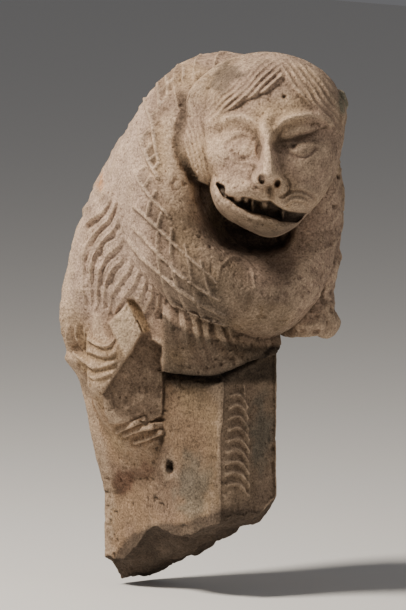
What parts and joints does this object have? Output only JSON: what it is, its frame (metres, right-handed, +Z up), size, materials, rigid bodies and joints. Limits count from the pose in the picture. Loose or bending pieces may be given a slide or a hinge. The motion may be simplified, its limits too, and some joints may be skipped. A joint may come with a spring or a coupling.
{
  "type": "lion protome",
  "caption": "Weathered carved stone forepart of a lion with a netted mane, head turned to its right, on a slim broken pillar with a fern relief; it is built into a wall at its back.",
  "frame": {"origin": "on the flat back face where the stone meets the wall, on the pillar's middle line and 177 mm above the lowest point of the break", "axes": "+Z up, -Y the way the lion's body faces, +Y into the wall, +X to the lion's left"},
  "size_m": [0.2683, 0.3167, 0.627],
  "materials": {
    "stone": "matt, weathered and pitted, with darker patina on the breaks"
  },
  "bodies": {
    "root": {"lion_protome": "stone"}
  },
  "joints": []
}
